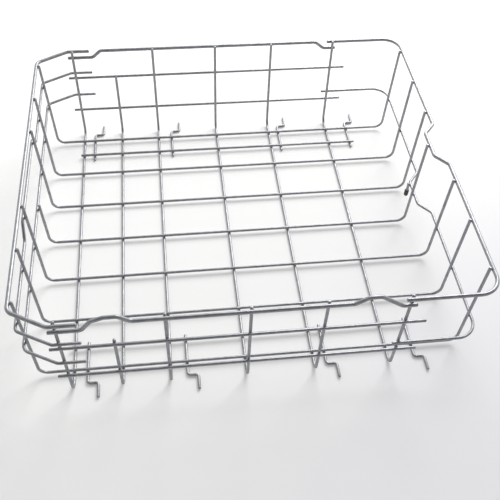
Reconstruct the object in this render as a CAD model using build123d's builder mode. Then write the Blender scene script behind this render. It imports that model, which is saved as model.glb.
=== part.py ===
"""Lower dishwasher basket: a bare rack of coated steel wires, welded where they cross.

X runs from the front wall (minus) to the back wall (plus), Y across the width, Z up.
The basket stands on the undersides of its lowest floor wires, at Z = 0.
"""
import os
from math import cos, radians, tan

from build123d import *

os.makedirs("parts", exist_ok=True)

# Wire stock, over the coat
wire_d = 4.0
rim_d = 5.0
weld_gap = 0.02
wire_r = wire_d / 2
rim_r = rim_d / 2

# Basket floor and the lean of its walls
half_length = 273.7
half_width = 247.0
wall_lean = 1.65
floor_bend = 12.0
lower_floor_z = wire_r
upper_floor_z = lower_floor_z + wire_d + weld_gap
lean = tan(radians(wall_lean))

# Where the floor wires lie, measured in from the walls that they stand nearest to
front_wall = -half_length
back_wall = half_length
front_wire_insets = (42.7, 104.7, 165.2)
middle_wire_x = -11.0
back_wire_insets = (195.9, 97.1)
cross_pitch = 71.0
outer_cross_inset = 27.0
floor_rail_inset = 61.5
floor_rail_front_inset = 37.7
floor_rail_back_inset = 55.7
middle_cross_y = 0.0
outer_cross_y = half_width - outer_cross_inset
floor_rail_y = half_width - floor_rail_inset
short_wire_x = front_wall + front_wire_insets[1]
long_xs = (
    *(front_wall + inset for inset in front_wire_insets),
    middle_wire_x,
    *(back_wall - inset for inset in back_wire_insets),
)
cross_ys = (
    outer_cross_y,
    2 * cross_pitch,
    cross_pitch,
    middle_cross_y,
    -cross_pitch,
    -2 * cross_pitch,
    -outer_cross_y,
)

# Heights on the walls
rim_z = 156.0
rim_end_drop = 11.0
hump_rise = 10.5
upright_over_rim = 3.0
side_mid_z = 108.5
side_low_z = 47.0
front_mid_z = 118.0
handle_rise = 18.5
front_low_z = 77.0
back_low_z = 61.5
short_upright_rise = 5.5
short_leg_rise = 9.0
upright_top_z = rim_z + upright_over_rim
short_upright_top_z = side_mid_z + short_upright_rise
short_leg_top_z = front_low_z + short_leg_rise

# Rail ends and bends
rail_bend = 8.0
front_corner_bend = 12.0
back_corner_bend = 26.0
front_end_inset = 68.7
front_corner_inset = 35.7
front_corner_side_inset = 16.0
back_end_inset = 106.2
side_rail_front_inset = 30.7
side_rail_back_inset = 72.7
side_rim_front_inset = 34.7
side_rim_back_inset = 91.2
front_end_x = front_wall + front_end_inset
front_corner_x = front_wall + front_corner_inset
front_corner_y = half_width - front_corner_side_inset
back_end_x = back_wall - back_end_inset
side_rail_xs = (front_wall + side_rail_front_inset, back_wall - side_rail_back_inset)
side_rim_xs = (front_wall + side_rim_front_inset, back_wall - side_rim_back_inset)

# Where the side rims step down to their ends, and the humps on the near one
far_step_front_insets = (73.2, 85.2)
far_step_back_insets = (124.2, 110.7)
front_hump_insets = (69.7, 99.2, 113.7, 127.7)
back_hump_insets = (175.2, 156.2, 140.2, 110.7)
far_step_front_xs = [front_wall + inset for inset in far_step_front_insets]
far_step_back_xs = [back_wall - inset for inset in far_step_back_insets]
front_hump_xs = [front_wall + inset for inset in front_hump_insets]
back_hump_xs = [back_wall - inset for inset in back_hump_insets]

# Hand opening in the front wall
handle_half = 78.0
handle_foot_half = 95.0

# Recess in the middle of the back wall
recess_depth = 16.0
recess_y = 3.0
recess_half = 23.0
recess_mouth_half = 41.5

# Wheel axles
front_axle_insets = (59.7, 186.7)
back_axle_insets = (179.7, 61.7)
axle_jog = 13.5
axle_bend = 4.0
axle_inner_inset = 70.5
axle_jog_inset = 8.5
axle_overhang = 13.0
axle_inner_y = half_width - axle_inner_inset
axle_jog_y = half_width - axle_jog_inset
axle_end_y = half_width + axle_overhang
axle_xs = (
    *(front_wall + inset for inset in front_axle_insets),
    *(back_wall - inset for inset in back_axle_insets),
)

# Capped stub in the back recess
stub_y = 20.0
stub_rise = 4.0
stub_drop = 21.0
stub_top_z = back_low_z + stub_rise
stub_bottom_z = back_low_z - stub_drop
cap_d = 6.4
cap_length = 11.0
cap_fit = 0.03
cap_end_wall = 1.6
cap_round = 1.2


def leg_x(z):
    """Distance of an end wall's upright centre line from the middle at height z."""
    return half_length + lean * (z - upper_floor_z)


def upright_y(z):
    """Distance of a side wall's upright centre line from the middle at height z."""
    return half_width + lean * (z - lower_floor_z)


def end_rail_x(z, radius):
    """Distance of a rail lying outside the end wall's uprights at height z."""
    return leg_x(z) + (wire_r + radius + weld_gap) / cos(radians(wall_lean))


def side_rail_y(z, radius):
    """Distance of a rail lying outside the side wall's uprights at height z."""
    return upright_y(z) + (wire_r + radius + weld_gap) / cos(radians(wall_lean))


def make_wire(label, corners, radius, bend):
    """One bent round wire through its corner points."""
    with BuildPart() as wire:
        with BuildLine() as run:
            if len(corners) == 2:
                Line(*corners)
            else:
                FilletPolyline(*corners, radius=bend)
        with BuildSketch(Plane(origin=run.line @ 0, z_dir=run.line % 0)):
            Circle(radius)
        sweep()
    wire.part.label = label
    export_step(wire.part, f"parts/{label}.step")


# Lower floor wires, each rising into a pair of side uprights
for number, x in enumerate(long_xs, start=1):
    top_z = short_upright_top_z if x == short_wire_x else upright_top_z
    make_wire(
        f"long_wire_{number}",
        [
            (x, upright_y(top_z), top_z),
            (x, half_width, lower_floor_z),
            (x, -half_width, lower_floor_z),
            (x, -upright_y(top_z), top_z),
        ],
        wire_r,
        floor_bend,
    )

# Upper floor wires, each rising into a front and a back upright
for number, y in enumerate(cross_ys, start=1):
    middle = y == middle_cross_y
    front_top_z = short_leg_top_z if middle else upright_top_z
    inset = recess_depth if middle else 0.0
    make_wire(
        f"cross_wire_{number}",
        [
            (-leg_x(front_top_z), y, front_top_z),
            (-half_length, y, upper_floor_z),
            (half_length - inset, y, upper_floor_z),
            (leg_x(upright_top_z) - inset, y, upright_top_z),
        ],
        wire_r,
        floor_bend,
    )

# Floor rails that stiffen the wheel axles
for side, sign in (("far", 1), ("near", -1)):
    make_wire(
        f"floor_rail_{side}",
        [
            (front_wall + floor_rail_front_inset, sign * floor_rail_y, upper_floor_z),
            (back_wall - floor_rail_back_inset, sign * floor_rail_y, upper_floor_z),
        ],
        wire_r,
        floor_bend,
    )

# Wheel axles, welded under the outer floor wires
for side, sign in (("far", 1), ("near", -1)):
    for number, x in enumerate(axle_xs, start=1):
        make_wire(
            f"axle_{side}_{number}",
            [
                (x, sign * axle_inner_y, lower_floor_z),
                (x, sign * axle_jog_y, lower_floor_z),
                (x + axle_jog, sign * axle_jog_y, lower_floor_z),
                (x + axle_jog, sign * axle_end_y, lower_floor_z),
            ],
            wire_r,
            axle_bend,
        )

# Straight rails on both sides
for side, sign in (("far", 1), ("near", -1)):
    for name, z in (("mid", side_mid_z), ("low", side_low_z)):
        make_wire(
            f"side_{name}_rail_{side}",
            [(x, sign * side_rail_y(z, wire_r), z) for x in side_rail_xs],
            wire_r,
            rail_bend,
        )

# Far rim, its ends dropped below the ends of the front and back rims
rim_end_z = rim_z - rim_end_drop
far_rim_steps = (
    (side_rim_xs[0], rim_end_z),
    (far_step_front_xs[0], rim_end_z),
    (far_step_front_xs[1], rim_z),
    (far_step_back_xs[0], rim_z),
    (far_step_back_xs[1], rim_end_z),
    (side_rim_xs[1], rim_end_z),
)
make_wire(
    "side_rim_far",
    [(x, side_rail_y(z, rim_r), z) for x, z in far_rim_steps],
    rim_r,
    rail_bend,
)

# Near rim, with a raised hump beside each dropped end
hump_z = rim_z + hump_rise
near_rim_steps = (
    (side_rim_xs[0], rim_end_z),
    (front_hump_xs[0], rim_end_z),
    (front_hump_xs[1], hump_z),
    (front_hump_xs[2], hump_z),
    (front_hump_xs[3], rim_z),
    (back_hump_xs[0], rim_z),
    (back_hump_xs[1], hump_z),
    (back_hump_xs[2], hump_z),
    (back_hump_xs[3], rim_end_z),
    (side_rim_xs[1], rim_end_z),
)
make_wire(
    "side_rim_near",
    [(x, -side_rail_y(z, rim_r), z) for x, z in near_rim_steps],
    rim_r,
    rail_bend,
)

# Front rim and rails, cut across the corners and lapped onto the first side uprights
for name, z, radius in (("rim", rim_z, rim_r), ("low_rail", front_low_z, wire_r)):
    make_wire(
        f"front_{name}",
        [
            (front_end_x, side_rail_y(z, radius), z),
            (front_corner_x, side_rail_y(z, radius), z),
            (-end_rail_x(z, radius), front_corner_y, z),
            (-end_rail_x(z, radius), -front_corner_y, z),
            (front_corner_x, -side_rail_y(z, radius), z),
            (front_end_x, -side_rail_y(z, radius), z),
        ],
        radius,
        front_corner_bend,
    )

# Front middle rail, lifted over the hand opening
handle_z = front_mid_z + handle_rise
make_wire(
    "front_mid_rail",
    [
        (front_end_x, side_rail_y(front_mid_z, wire_r), front_mid_z),
        (front_corner_x, side_rail_y(front_mid_z, wire_r), front_mid_z),
        (-end_rail_x(front_mid_z, wire_r), front_corner_y, front_mid_z),
        (-end_rail_x(front_mid_z, wire_r), handle_foot_half, front_mid_z),
        (-end_rail_x(handle_z, wire_r), handle_half, handle_z),
        (-end_rail_x(handle_z, wire_r), -handle_half, handle_z),
        (-end_rail_x(front_mid_z, wire_r), -handle_foot_half, front_mid_z),
        (-end_rail_x(front_mid_z, wire_r), -front_corner_y, front_mid_z),
        (front_corner_x, -side_rail_y(front_mid_z, wire_r), front_mid_z),
        (front_end_x, -side_rail_y(front_mid_z, wire_r), front_mid_z),
    ],
    wire_r,
    rail_bend,
)

# Back rim and rail, round at the corners and stepped in at the recess
for name, z, radius in (("rim", rim_z, rim_r), ("low_rail", back_low_z, wire_r)):
    out_x = end_rail_x(z, radius)
    in_x = out_x - recess_depth
    side_y = side_rail_y(z, radius)
    make_wire(
        f"back_{name}",
        [
            (back_end_x, side_y, z),
            (out_x, side_y, z),
            (out_x, recess_y + recess_mouth_half, z),
            (in_x, recess_y + recess_half, z),
            (in_x, recess_y - recess_half, z),
            (out_x, recess_y - recess_mouth_half, z),
            (out_x, -side_y, z),
            (back_end_x, -side_y, z),
        ],
        radius,
        [back_corner_bend] + [rail_bend] * 4 + [back_corner_bend],
    )

# Short stub on the back low rail, inside the recess
stub_x = end_rail_x(back_low_z, wire_r) - recess_depth - wire_d - weld_gap
make_wire(
    "stub",
    [(stub_x, stub_y, stub_top_z), (stub_x, stub_y, stub_bottom_z + cap_end_wall + cap_fit)],
    wire_r,
    rail_bend,
)

# Dark cap pushed over the stub's lower end
with BuildPart() as stub_cap:
    with BuildSketch(Plane.XY.offset(stub_bottom_z)):
        with Locations((stub_x, stub_y)):
            Circle(cap_d / 2)
    extrude(amount=cap_length)
    fillet(stub_cap.faces().sort_by(Axis.Z)[0].edges(), cap_round)
    with BuildSketch(Plane.XY.offset(stub_bottom_z + cap_end_wall)):
        with Locations((stub_x, stub_y)):
            Circle(wire_r + cap_fit)
    extrude(amount=cap_length, mode=Mode.SUBTRACT)
stub_cap.part.label = "stub_cap"
export_step(stub_cap.part, "parts/stub_cap.step")
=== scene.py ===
from itertools import combinations
from math import cos, pi, radians, sin, tan

import bmesh
import bpy
import numpy as np
from mathutils import Matrix, Vector


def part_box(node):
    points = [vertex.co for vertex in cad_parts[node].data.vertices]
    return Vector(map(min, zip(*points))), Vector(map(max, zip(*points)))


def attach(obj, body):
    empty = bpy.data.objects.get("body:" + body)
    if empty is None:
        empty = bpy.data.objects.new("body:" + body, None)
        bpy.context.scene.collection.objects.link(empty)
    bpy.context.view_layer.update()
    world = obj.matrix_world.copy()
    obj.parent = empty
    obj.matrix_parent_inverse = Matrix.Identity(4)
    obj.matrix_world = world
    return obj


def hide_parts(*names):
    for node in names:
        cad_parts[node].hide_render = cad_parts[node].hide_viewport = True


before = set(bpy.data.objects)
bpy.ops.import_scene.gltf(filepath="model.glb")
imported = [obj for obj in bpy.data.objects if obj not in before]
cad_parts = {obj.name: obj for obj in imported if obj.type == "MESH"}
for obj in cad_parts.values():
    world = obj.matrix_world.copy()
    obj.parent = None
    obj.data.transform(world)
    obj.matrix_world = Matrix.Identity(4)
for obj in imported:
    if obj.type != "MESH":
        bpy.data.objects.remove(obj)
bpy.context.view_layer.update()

# Lower floor wires. Each is a length of round steel wire bent up at both ends, so that its middle
# lies on the floor and its ends stand as a pair of side uprights. They are welded under the
# wires that cross them, and then the whole basket is dipped in molten nylon powder.


def linear(hex_colour):
    """Linear RGBA of an sRGB hex value."""
    channels = [int(hex_colour[i:i + 2], 16) / 255 for i in (1, 3, 5)]
    return [c / 12.92 if c <= 0.04045 else ((c + 0.055) / 1.055) ** 2.4 for c in channels] + [1.0]


def add_node(tree, kind, sockets=None, links=None, **properties):
    """One shader node with its socket values, its links from other nodes' outputs, and its properties."""
    node = tree.nodes.new(kind)
    for name, value in properties.items():
        setattr(node, name, value)
    for name, value in (sockets or {}).items():
        node.inputs[name].default_value = value
    for name, output in (links or {}).items():
        tree.links.new(output, node.inputs[name])
    return node


def new_material(name):
    """A node material with nothing in it yet."""
    material = bpy.data.materials.new(name)
    material.use_nodes = True
    material.node_tree.nodes.clear()
    return material


# Nylon dip coat: a satin skin with a silver pigment in it, which levels as it cools. It gives the eye
# an even grey with a soft highlight along each wire, broken by a slow ripple in its thickness and a
# fine orange peel. The pigment's flakes are too small to show and are in the metallic share alone.
ripple_mm = 7.0
peel_mm = 0.8
dark_below = 0.34
pale_above = 0.68
nylon = new_material("nylon_dip_coat")
tree = nylon.node_tree
place = add_node(tree, "ShaderNodeTexCoord")
ripple = add_node(
    tree,
    "ShaderNodeTexNoise",
    {"Scale": 1000 / ripple_mm, "Detail": 2.0},
    {"Vector": place.outputs["Object"]},
)
peel = add_node(
    tree,
    "ShaderNodeTexNoise",
    {"Scale": 1000 / peel_mm, "Detail": 3.0},
    {"Vector": place.outputs["Object"]},
)
tint = add_node(tree, "ShaderNodeValToRGB", links={"Fac": ripple.outputs["Fac"]})
tint.color_ramp.elements[0].position = dark_below
tint.color_ramp.elements[0].color = linear("#87888b")
tint.color_ramp.elements[1].position = pale_above
tint.color_ramp.elements[1].color = linear("#999a9e")
satin = add_node(
    tree, "ShaderNodeMapRange", {"To Min": 0.34, "To Max": 0.48}, {"Value": peel.outputs["Fac"]}
)
waves = add_node(
    tree, "ShaderNodeBump", {"Strength": 0.15, "Distance": 0.0004}, {"Height": ripple.outputs["Fac"]}
)
skin_relief = add_node(
    tree,
    "ShaderNodeBump",
    {"Strength": 0.07, "Distance": 0.00006},
    {"Height": peel.outputs["Fac"], "Normal": waves.outputs["Normal"]},
)
nylon_skin = add_node(
    tree,
    "ShaderNodeBsdfPrincipled",
    {"IOR": 1.53, "Metallic": 0.5},
    {
        "Base Color": tint.outputs["Color"],
        "Roughness": satin.outputs["Result"],
        "Normal": skin_relief.outputs["Normal"],
    },
)
add_node(tree, "ShaderNodeOutputMaterial", links={"Surface": nylon_skin.outputs["BSDF"]})

tube_sides = 20
bend_step = radians(6)
end_rounding = 0.55
end_rings = 4
wire_runs = {}


def rounded_run(corners, bends):
    """Points along a wire through its corners, each corner an arc of its own bend radius."""
    points = [corners[0]]
    for before, corner, after, bend in zip(corners, corners[1:], corners[2:], bends):
        back = (before - corner).normalized()
        onward = (after - corner).normalized()
        turn = pi - back.angle(onward)
        centre = corner + (back + onward).normalized() * bend / cos(turn / 2)
        arm = corner + back * bend * tan(turn / 2) - centre
        last_arm = corner + onward * bend * tan(turn / 2) - centre
        axis = arm.cross(last_arm)
        steps = max(3, round(turn / bend_step))
        for step in range(steps + 1):
            points.append(centre + Matrix.Rotation(turn * step / steps, 3, axis) @ arm)
    return points + [corners[-1]]


def join_rings(mesh, rings):
    """Faces from each ring of corners to the next, and one over each end."""
    for ring, following in zip(rings, rings[1:]):
        for step in range(len(ring)):
            after = (step + 1) % len(ring)
            mesh.faces.new((ring[step], ring[after], following[after], following[step]))
    mesh.faces.new(rings[0][::-1])
    mesh.faces.new(rings[-1])


def tube(points, radius):
    """A closed round tube along the points, its two cut ends rounded over as the dip leaves them."""
    rounding = radius * end_rounding
    first = (points[1] - points[0]).normalized()
    last = (points[-1] - points[-2]).normalized()
    head = []
    tail = []
    for ring in range(end_rings + 1):
        angle = pi / 2 * ring / end_rings
        inset = rounding * (1 - sin(angle))
        ring_radius = radius - rounding * (1 - cos(angle))
        head.append((points[0] + first * inset, first, ring_radius))
        tail.append((points[-1] - last * inset, last, ring_radius))
    body = [
        (point, (after - before).normalized(), radius)
        for before, point, after in zip(points, points[1:], points[2:])
    ]
    mesh = bmesh.new()
    side = first.orthogonal().normalized()
    heading = first
    rings = []
    for point, direction, ring_radius in head[::-1] + body + tail:
        side = heading.rotation_difference(direction) @ side
        heading = direction
        other = heading.cross(side)
        rings.append(
            [
                mesh.verts.new(point + ring_radius * (cos(angle) * side + sin(angle) * other))
                for angle in (2 * pi * step / tube_sides for step in range(tube_sides))
            ]
        )
    join_rings(mesh, rings)
    return mesh


def add_piece(name, mesh, material, slot, *nodes):
    """A finished piece in the scene, standing for its CAD nodes."""
    data = bpy.data.meshes.new(name)
    mesh.normal_update()
    mesh.to_mesh(data)
    mesh.free()
    data.shade_smooth()
    data.materials.append(material)
    piece = bpy.data.objects.new(name, data)
    bpy.context.collection.objects.link(piece)
    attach(piece, "root")
    if nodes:
        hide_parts(*nodes)
    return piece


def add_wire(node, corners, radius, bends):
    """One coated wire in place of its CAD node."""
    points = rounded_run([Vector(c) for c in corners], bends)
    wire_runs[node] = (np.array(points), radius)
    add_piece(f"{node}_coated", tube(points, radius), nylon, "coated_wire", node)


floor_bend = 0.012
wall_lean = radians(1.65)
for number in range(1, 7):
    node = f"long_wire_{number}"
    low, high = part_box(node)
    radius = (high.x - low.x) / 2
    x = (low.x + high.x) / 2
    floor_z = low.z + radius
    top_z = high.z - radius * sin(wall_lean)
    top_y = high.y - radius * cos(wall_lean)
    foot_y = top_y - (top_z - floor_z) * tan(wall_lean)
    add_wire(
        node,
        [(x, top_y, top_z), (x, foot_y, floor_z), (x, -foot_y, floor_z), (x, -top_y, top_z)],
        radius,
        [floor_bend] * 2,
    )

# Upper floor wires. They are bent like the lower ones, lie across them, and stand up as the front
# and back uprights. The middle one stops short in front, at the hand opening.
opening_wire = 4
short_leg_over_rail = 0.009
front_rail_low, front_rail_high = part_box("front_low_rail")
for number in range(1, 8):
    node = f"cross_wire_{number}"
    low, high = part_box(node)
    radius = (high.y - low.y) / 2
    y = (low.y + high.y) / 2
    floor_z = low.z + radius
    back_top_z = high.z - radius * sin(wall_lean)
    back_x = high.x - radius * cos(wall_lean)
    back_foot_x = back_x - (back_top_z - floor_z) * tan(wall_lean)
    front_top_z = back_top_z
    if number == opening_wire:
        front_top_z = (front_rail_low.z + front_rail_high.z) / 2 + short_leg_over_rail
    front_x = low.x + radius * cos(wall_lean)
    front_foot_x = front_x + (front_top_z - floor_z) * tan(wall_lean)
    add_wire(
        node,
        [
            (front_x, y, front_top_z),
            (front_foot_x, y, floor_z),
            (back_foot_x, y, floor_z),
            (back_x, y, back_top_z),
        ],
        radius,
        [floor_bend] * 2,
    )

# Straight rails: the two that stiffen the floor beside the wheels, and the middle and low rails
# along the sides. Each is plain wire cut to length and welded to the uprights it passes.
for node in (
    "floor_rail_far",
    "floor_rail_near",
    "side_mid_rail_far",
    "side_mid_rail_near",
    "side_low_rail_far",
    "side_low_rail_near",
):
    low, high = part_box(node)
    middle = (low + high) / 2
    add_wire(node, [(low.x, middle.y, middle.z), (high.x, middle.y, middle.z)], (high.z - low.z) / 2, [])

# Wheel axles. Short wires welded under the outer floor wires, stepped along once and turned out
# past the side wall, where a wheel is pushed on each.
axle_bend = 0.004
axle_tip = 0.0215
for side, outward in (("far", 1), ("near", -1)):
    for number in range(1, 5):
        node = f"axle_{side}_{number}"
        low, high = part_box(node)
        radius = (high.z - low.z) / 2
        z = low.z + radius
        inner_y, tip_y = (low.y, high.y) if outward > 0 else (high.y, low.y)
        step_y = tip_y - outward * axle_tip
        add_wire(
            node,
            [
                (low.x + radius, inner_y, z),
                (low.x + radius, step_y, z),
                (high.x - radius, step_y, z),
                (high.x - radius, tip_y, z),
            ],
            radius,
            [axle_bend] * 2,
        )

# Side rims. Thicker wire along the top of each side, with its ends dropped so that the front and
# back rims lap over them on the same uprights. The near one also has a hump beside each end.
rail_bend = 0.008
far_rim_drops = (-0.2005, -0.1885, 0.1495, 0.163)
low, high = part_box("side_rim_far")
rim_radius = 0.0025
end_z = low.z + rim_radius
rim_z = high.z - rim_radius
rim_y = high.y - rim_radius
far_steps = (
    (low.x, end_z),
    (far_rim_drops[0], end_z),
    (far_rim_drops[1], rim_z),
    (far_rim_drops[2], rim_z),
    (far_rim_drops[3], end_z),
    (high.x, end_z),
)
add_wire(
    "side_rim_far",
    [(x, rim_y + (z - rim_z) * tan(wall_lean), z) for x, z in far_steps],
    rim_radius,
    [rail_bend] * 4,
)
low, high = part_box("side_rim_near")
hump_z = high.z - rim_radius
shoulder_share = 0.74
shoulder_z = end_z + shoulder_share * (hump_z - end_z)
front_hump = (
    (-0.2015, end_z),
    (-0.19, shoulder_z),
    (-0.175, hump_z),
    (-0.16, hump_z),
    (-0.146, rim_z),
)
back_hump = (
    (0.107, rim_z),
    (0.1225, hump_z),
    (0.137, hump_z),
    (0.165, end_z),
)
near_steps = ((low.x, end_z), *front_hump, *back_hump, (high.x, end_z))
add_wire(
    "side_rim_near",
    [(x, -rim_y - (z - rim_z) * tan(wall_lean), z) for x, z in near_steps],
    rim_radius,
    [rail_bend] * len(front_hump + back_hump),
)

# Front rim and rails. Each is bent across the two front corners and lapped onto the first side
# uprights. The middle one is lifted over the hand opening.
rail_radius = 0.002
front_corner_bend = 0.012
front_corner_x = -0.238
front_corner_y = 0.231
handle_half = 0.078
handle_foot_half = 0.095
for node, radius in (
    ("front_rim", rim_radius),
    ("front_low_rail", rail_radius),
    ("front_mid_rail", rail_radius),
):
    low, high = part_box(node)
    end_x = high.x
    z = low.z + radius
    lift_z = high.z - radius
    lift_x = low.x + radius
    wall_x = lift_x + (lift_z - z) * tan(wall_lean)
    side_y = high.y - radius
    far_half = [
        (end_x, side_y, z),
        (front_corner_x, side_y, z),
        (wall_x, front_corner_y, z),
    ]
    bend = front_corner_bend
    if node == "front_mid_rail":
        far_half += [(wall_x, handle_foot_half, z), (lift_x, handle_half, lift_z)]
        bend = rail_bend
    near_half = [(x, -y, height) for x, y, height in far_half[::-1]]
    corners = far_half + near_half
    add_wire(node, corners, radius, [bend] * (len(corners) - 2))

# Back rim and rail. Each is one wire with two round corners, stepped in behind the middle upright
# to clear the water pipe at the back of the tub.
back_corner_bend = 0.026
recess_depth = 0.016
recess_y = 0.003
recess_half = 0.023
recess_mouth_half = 0.0415
for node, radius in (("back_rim", rim_radius), ("back_low_rail", rail_radius)):
    low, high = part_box(node)
    z = (low.z + high.z) / 2
    out_x = high.x - radius
    in_x = out_x - recess_depth
    side_y = high.y - radius
    add_wire(
        node,
        [
            (low.x, side_y, z),
            (out_x, side_y, z),
            (out_x, recess_y + recess_mouth_half, z),
            (in_x, recess_y + recess_half, z),
            (in_x, recess_y - recess_half, z),
            (out_x, recess_y - recess_mouth_half, z),
            (out_x, -side_y, z),
            (low.x, -side_y, z),
        ],
        radius,
        [back_corner_bend] + [rail_bend] * 4 + [back_corner_bend],
    )

# Stub. A short end of wire welded inside the low back rail at the recess, hanging down the wall,
# with a dark moulded rubber cap pushed over its tip.
low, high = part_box("stub")
middle = (low + high) / 2
add_wire("stub", [(middle.x, middle.y, high.z), (middle.x, middle.y, low.z)], (high.x - low.x) / 2, [])

# Moulded rubber: dull brown-black with a powdery bloom that breaks up its dim highlight.
bloom_mm = 1.5
rubber = new_material("moulded_rubber")
tree = rubber.node_tree
place = add_node(tree, "ShaderNodeTexCoord")
bloom = add_node(
    tree,
    "ShaderNodeTexNoise",
    {"Scale": 1000 / bloom_mm, "Detail": 4.0},
    {"Vector": place.outputs["Object"]},
)
rubber_tint = add_node(tree, "ShaderNodeValToRGB", links={"Fac": bloom.outputs["Fac"]})
rubber_tint.color_ramp.elements[0].color = linear("#2b2724")
rubber_tint.color_ramp.elements[1].color = linear("#443f3a")
rubber_relief = add_node(
    tree, "ShaderNodeBump", {"Strength": 0.2, "Distance": 0.0001}, {"Height": bloom.outputs["Fac"]}
)
rubber_skin = add_node(
    tree,
    "ShaderNodeBsdfPrincipled",
    {"Roughness": 0.7, "IOR": 1.52},
    {"Base Color": rubber_tint.outputs["Color"], "Normal": rubber_relief.outputs["Normal"]},
)
add_node(tree, "ShaderNodeOutputMaterial", links={"Surface": rubber_skin.outputs["BSDF"]})

cap_profile = (
    (0.55, 0.0),
    (0.82, 0.05),
    (0.96, 0.13),
    (1.0, 0.22),
    (1.0, 0.84),
    (0.97, 0.93),
    (0.88, 0.985),
    (0.78, 1.0),
)
cap_sides = 28
low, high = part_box("stub_cap")
middle = (low + high) / 2
cap_radius = (high.x - low.x) / 2
cap_mesh = bmesh.new()
cap_rings = []
for width, level in cap_profile:
    cap_rings.append(
        [
            cap_mesh.verts.new(
                (
                    middle.x + cap_radius * width * cos(2 * pi * step / cap_sides),
                    middle.y + cap_radius * width * sin(2 * pi * step / cap_sides),
                    low.z + (high.z - low.z) * level,
                )
            )
            for step in range(cap_sides)
        ]
    )
join_rings(cap_mesh, cap_rings)
add_piece("stub_cap_moulded", cap_mesh, rubber, "stub_cap", "stub_cap")

# Welds. Where two wires meet they are spot welded before the dip, and the molten nylon draws into
# the corner between them and sets as a small smooth fillet.
weld_reach = 0.0003
weld_apart = 0.006
fillet_across = 1.08
fillet_thick = 0.5
fillet_rows = 8
fillet_steps = 14
least_spread = 1e-18


def meeting_points(first, second, distance):
    """Places where two runs come within a distance: how far, a point on each, and the first one's way."""
    first_starts = first[:-1, None]
    second_starts = second[None, :-1]
    first_steps = np.diff(first, axis=0)[:, None]
    second_steps = np.diff(second, axis=0)[None]
    offset = first_starts - second_starts
    first_square = (first_steps * first_steps).sum(2)
    second_square = (second_steps * second_steps).sum(2)
    shared = (first_steps * second_steps).sum(2)
    first_offset = (first_steps * offset).sum(2)
    second_offset = (second_steps * offset).sum(2)
    spread = np.maximum(first_square * second_square - shared * shared, least_spread)
    first_share = np.clip((shared * second_offset - second_square * first_offset) / spread, 0, 1)
    second_share = np.clip((shared * first_share + second_offset) / second_square, 0, 1)
    first_share = np.clip((shared * second_share - first_offset) / first_square, 0, 1)
    on_first = first_starts + first_share[..., None] * first_steps
    on_second = second_starts + second_share[..., None] * second_steps
    apart = np.linalg.norm(on_first - on_second, axis=2)
    found = []
    for i, j in zip(*np.where(apart < distance)):
        found.append((apart[i, j], on_first[i, j], on_second[i, j], first_steps[i, 0]))
    kept = []
    for meeting in sorted(found, key=lambda m: m[0]):
        if all(np.linalg.norm(meeting[1] - other[1]) > weld_apart for other in kept):
            kept.append(meeting)
    return kept


fillets = bmesh.new()
for (first, first_radius), (second, second_radius) in combinations(wire_runs.values(), 2):
    reach = first_radius + second_radius + weld_reach
    if (first.min(0) > second.max(0) + reach).any() or (second.min(0) > first.max(0) + reach).any():
        continue
    for _, a, b, along in meeting_points(first, second, reach):
        normal = Vector(b - a).normalized()
        along = Vector(along).normalized()
        across = normal.cross(along)
        size = min(first_radius, second_radius)
        spot = Matrix.Translation(Vector(a) + normal * first_radius)
        turn = Matrix((along, across, normal)).transposed().to_4x4()
        swell = Matrix.Diagonal((size * fillet_across, size * fillet_across, size * fillet_thick, 1))
        bmesh.ops.create_uvsphere(
            fillets, u_segments=fillet_steps, v_segments=fillet_rows, radius=1, matrix=spot @ turn @ swell
        )
add_piece("weld_fillets", fillets, nylon, "coated_wire")

# Floor. A wide sheet of pale studio paper that takes the basket's soft shadows. Its colour carries
# painted shade: darker and cooler towards the near right and lighter towards the far left, as the
# light falls off across it. It lies just under the wires, and far out it fades to plain white.
away_slant = (-1.0, 1.0, 0.0)
paper_near = -0.85
paper_far = 0.5
paper_middle_share = 0.55
paper = new_material("studio_paper")
tree = paper.node_tree
place = add_node(tree, "ShaderNodeTexCoord")
slant = add_node(
    tree, "ShaderNodeVectorMath", {1: away_slant}, {0: place.outputs["Object"]}, operation="DOT_PRODUCT"
)
# How far each point of the paper lies along the painted shade, from the near right to the far left.
painted_shade_share = add_node(
    tree,
    "ShaderNodeMapRange",
    {"From Min": paper_near, "From Max": paper_far},
    {"Value": slant.outputs["Value"]},
)
# Painted shade: the paper's colour is darker towards the near right and lighter towards the far left.
paper_tint_with_painted_shade = add_node(tree, "ShaderNodeValToRGB", links={"Fac": painted_shade_share.outputs["Result"]})
paper_tint_with_painted_shade.color_ramp.elements[0].color = linear("#c7c6ca")
paper_tint_with_painted_shade.color_ramp.elements[1].color = linear("#dddddc")
paper_middle = paper_tint_with_painted_shade.color_ramp.elements.new(paper_middle_share)
paper_middle.color = linear("#d3d3d2")
sheet = add_node(
    tree, "ShaderNodeBsdfDiffuse", {"Roughness": 0.5}, {"Color": paper_tint_with_painted_shade.outputs["Color"]}
)
glow_level = 0.4
ray = add_node(tree, "ShaderNodeLightPath")
seen_or_mirrored = add_node(
    tree,
    "ShaderNodeMath",
    links={0: ray.outputs["Is Camera Ray"], 1: ray.outputs["Is Glossy Ray"]},
    operation="MAXIMUM",
)
seen = add_node(
    tree,
    "ShaderNodeMath",
    links={0: seen_or_mirrored.outputs["Value"], 1: ray.outputs["Is Transmission Ray"]},
    operation="MAXIMUM",
)
glow_strength = add_node(
    tree, "ShaderNodeMath", {1: glow_level}, {0: seen.outputs["Value"]}, operation="MULTIPLY"
)
glow = add_node(
    tree,
    "ShaderNodeEmission",
    links={"Color": paper_tint_with_painted_shade.outputs["Color"], "Strength": glow_strength.outputs["Value"]},
)
lifted = add_node(
    tree,
    "ShaderNodeAddShader",
    links={0: sheet.outputs["BSDF"], 1: glow.outputs["Emission"]},
)
fade_start = 1.0
fade_end = 2.2
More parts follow.
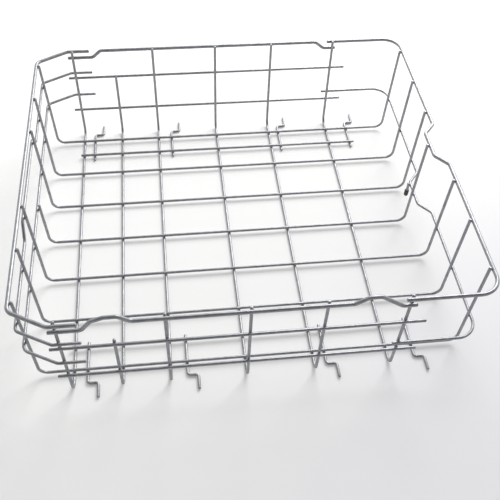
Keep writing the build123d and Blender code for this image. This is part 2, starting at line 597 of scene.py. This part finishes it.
away = add_node(tree, "ShaderNodeVectorMath", links={0: place.outputs["Object"]}, operation="LENGTH")
fade = add_node(
    tree,
    "ShaderNodeMapRange",
    {"From Min": fade_start, "From Max": fade_end},
    {"Value": away.outputs["Value"]},
)
seen_fade = add_node(
    tree,
    "ShaderNodeMath",
    links={0: fade.outputs["Result"], 1: seen.outputs["Value"]},
    operation="MULTIPLY",
)
white_sheet = add_node(tree, "ShaderNodeEmission", {"Strength": 1.0})
sheet_seen = add_node(
    tree,
    "ShaderNodeMixShader",
    links={0: seen_fade.outputs["Value"], 1: lifted.outputs["Shader"], 2: white_sheet.outputs["Emission"]},
)
add_node(tree, "ShaderNodeOutputMaterial", links={"Surface": sheet_seen.outputs["Shader"]})
paper_size = 12.0
paper_drop = 0.0002
bpy.ops.mesh.primitive_plane_add(size=paper_size, location=(0, 0, -paper_drop))
floor = bpy.context.object
floor.name = "studio_floor"
floor.data.materials.append(paper)

# Light. A white tent, open above the viewer: its sides and back and the skirt along its foot are
# white, and a large soft box at the back on the right draws the highlight along the wires.
box_place = Vector((0.6, 1.0, 1.1))
soft_box = bpy.data.objects.new("soft_box", bpy.data.lights.new("soft_box", "AREA"))
soft_box.data.size = 1.1
soft_box.data.energy = 38
soft_box.location = box_place
soft_box.rotation_euler = (-box_place).to_track_quat("-Z", "Y").to_euler()
bpy.context.collection.objects.link(soft_box)
tent_level = 1.0
skirt_start = 0.15
skirt_end = 0.28
tent = bpy.data.worlds.new("white_tent")
bpy.context.scene.world = tent
tent.use_nodes = True
tree = tent.node_tree
way = add_node(tree, "ShaderNodeTexCoord")
way_parts = add_node(tree, "ShaderNodeSeparateXYZ", links={"Vector": way.outputs["Generated"]})
sideways = add_node(tree, "ShaderNodeMath", links={0: way_parts.outputs["X"]}, operation="ABSOLUTE")
walls = add_node(
    tree,
    "ShaderNodeMath",
    links={0: sideways.outputs["Value"], 1: way_parts.outputs["Y"]},
    operation="ADD",
)
skirt_share = add_node(
    tree,
    "ShaderNodeMapRange",
    {"From Min": skirt_start, "From Max": skirt_end, "To Min": 1.0, "To Max": 0.0},
    {"Value": way_parts.outputs["Z"]},
)
white_share = add_node(
    tree,
    "ShaderNodeMath",
    links={0: walls.outputs["Value"], 1: skirt_share.outputs["Result"]},
    operation="MAXIMUM",
)
tent_tint = add_node(tree, "ShaderNodeValToRGB", links={"Fac": white_share.outputs["Value"]})
tent_tint.color_ramp.elements[0].color = linear("#262c38")
tent_tint.color_ramp.elements[1].color = linear("#fefefd")
backdrop = tree.nodes["Background"]
backdrop.inputs["Strength"].default_value = tent_level
tree.links.new(tent_tint.outputs["Color"], backdrop.inputs["Color"])

# Camera. It stands in front of the near side, high enough to see into the whole basket.
camera = bpy.data.objects.new("camera", bpy.data.cameras.new("camera"))
camera.data.sensor_width = 36.0
camera.data.lens = 52.7
camera.location = (-0.0883, -0.7282, 0.8254)
camera.rotation_euler = [radians(angle) for angle in (40.338, -1.766, -6.516)]
bpy.context.collection.objects.link(camera)
bpy.context.scene.camera = camera
bpy.context.scene.view_settings.view_transform = "Standard"
